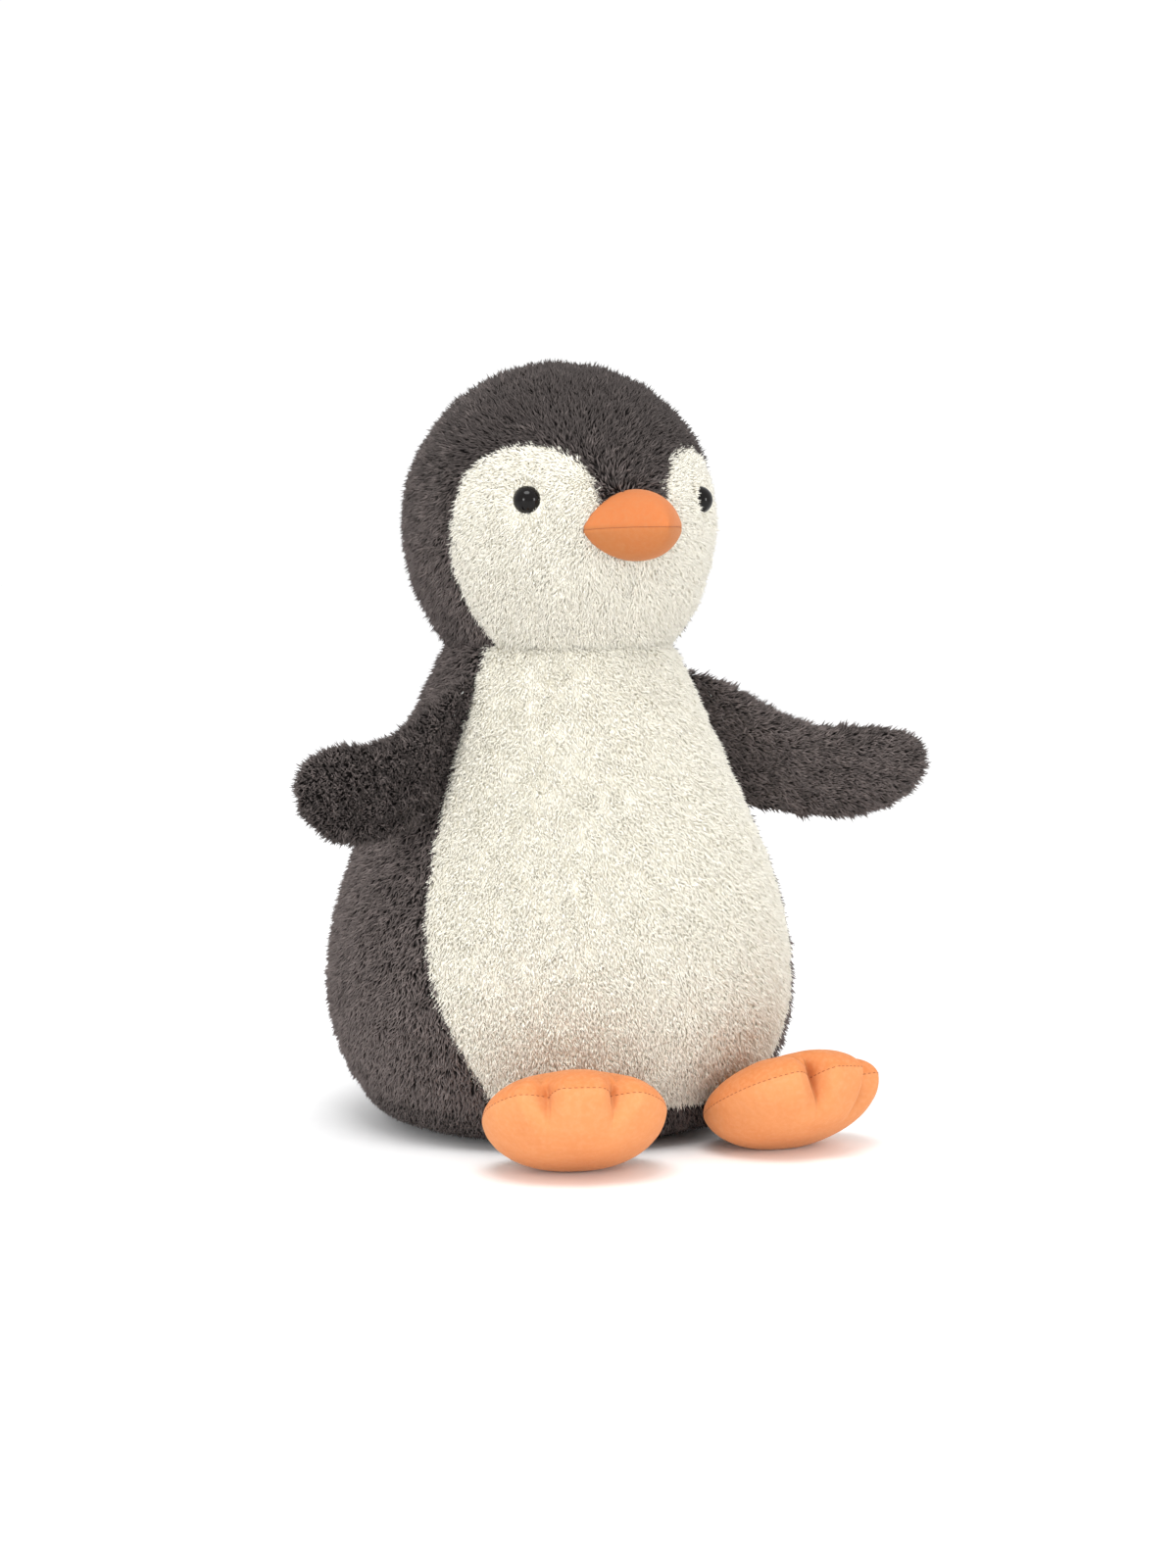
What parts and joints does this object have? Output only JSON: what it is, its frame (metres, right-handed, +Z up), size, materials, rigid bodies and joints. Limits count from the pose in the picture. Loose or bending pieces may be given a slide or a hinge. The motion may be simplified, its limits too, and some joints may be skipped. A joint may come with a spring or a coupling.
{
  "type": "plush penguin",
  "caption": "Sitting plush penguin with stuffed head, pear-shaped body, padded flippers and feet, and a soft two-part beak; it rests on a flat weighted base.",
  "frame": {"origin": "on the floor, at the centre of the flat base, under the axis of the body", "axes": "+Z up; the face, belly and toes look along -Y; the toy's own left is +X"},
  "size_m": [0.3328, 0.2717, 0.364],
  "materials": {
    "dark_plush": "short matted pile",
    "cream_plush": "short soft pile",
    "orange_suedette": "smooth brushed nap",
    "black_eye": "polished",
    "white_plastic": "moulded",
    "lining_cloth": "plain weave",
    "plastic_pellets": "satin granules",
    "fibre_filling": "loose fibre"
  },
  "bodies": {
    "body": {"belly_panel": "cream_plush", "back_left": "dark_plush", "back_right": "dark_plush", "base_panel": "dark_plush", "body_fill": "fibre_filling", "bean_pouch": "lining_cloth", "bean_pellets": "plastic_pellets"},
    "head": {"head_side_left": "dark_plush", "head_side_right": "dark_plush", "cheek_left": "cream_plush", "cheek_right": "cream_plush", "head_fill": "fibre_filling", "beak_upper": "orange_suedette", "beak_lower": "orange_suedette", "beak_fill": "fibre_filling", "eye_left": "black_eye", "eye_right": "black_eye", "eye_washer_left": "white_plastic", "eye_washer_right": "white_plastic"},
    "left_flipper": {"left_flipper_front": "dark_plush", "left_flipper_back": "dark_plush", "left_flipper_fill": "fibre_filling"},
    "left_foot": {"left_foot_upper": "orange_suedette", "left_foot_sole": "orange_suedette", "left_foot_fill": "fibre_filling"},
    "right_flipper": {"right_flipper_front": "dark_plush", "right_flipper_back": "dark_plush", "right_flipper_fill": "fibre_filling"},
    "right_foot": {"right_foot_upper": "orange_suedette", "right_foot_sole": "orange_suedette", "right_foot_fill": "fibre_filling"}
  },
  "joints": [
    {"name": "head_nod", "type": "hinge", "parent": "body", "child": "head", "pos_m": [0, 0, 0.262], "axis": [1, 0, 0], "range_deg": [-8, 8], "stiffness_Nm_per_rad": 1.5},
    {"name": "left_flipper_swing", "type": "hinge", "parent": "body", "child": "left_flipper", "pos_m": [0.07327, -0.02667, 0.1845], "axis": [0.3858, -0.1404, -0.9118], "range_deg": [-50, 50], "stiffness_Nm_per_rad": 0.05},
    {"name": "right_flipper_swing", "type": "hinge", "parent": "body", "child": "right_flipper", "pos_m": [-0.07327, -0.02667, 0.1845], "axis": [0.3858, 0.1404, 0.9118], "range_deg": [-50, 50], "stiffness_Nm_per_rad": 0.05},
    {"name": "left_foot_tilt", "type": "hinge", "parent": "body", "child": "left_foot", "pos_m": [0.04439, -0.08903, 0.014], "axis": [-0.9336, -0.3584, 0], "range_deg": [-28, 8], "stiffness_Nm_per_rad": 0.15},
    {"name": "right_foot_tilt", "type": "hinge", "parent": "body", "child": "right_foot", "pos_m": [-0.04439, -0.08903, 0.014], "axis": [-0.9336, 0.3584, 0], "range_deg": [-28, 8], "stiffness_Nm_per_rad": 0.15}
  ]
}
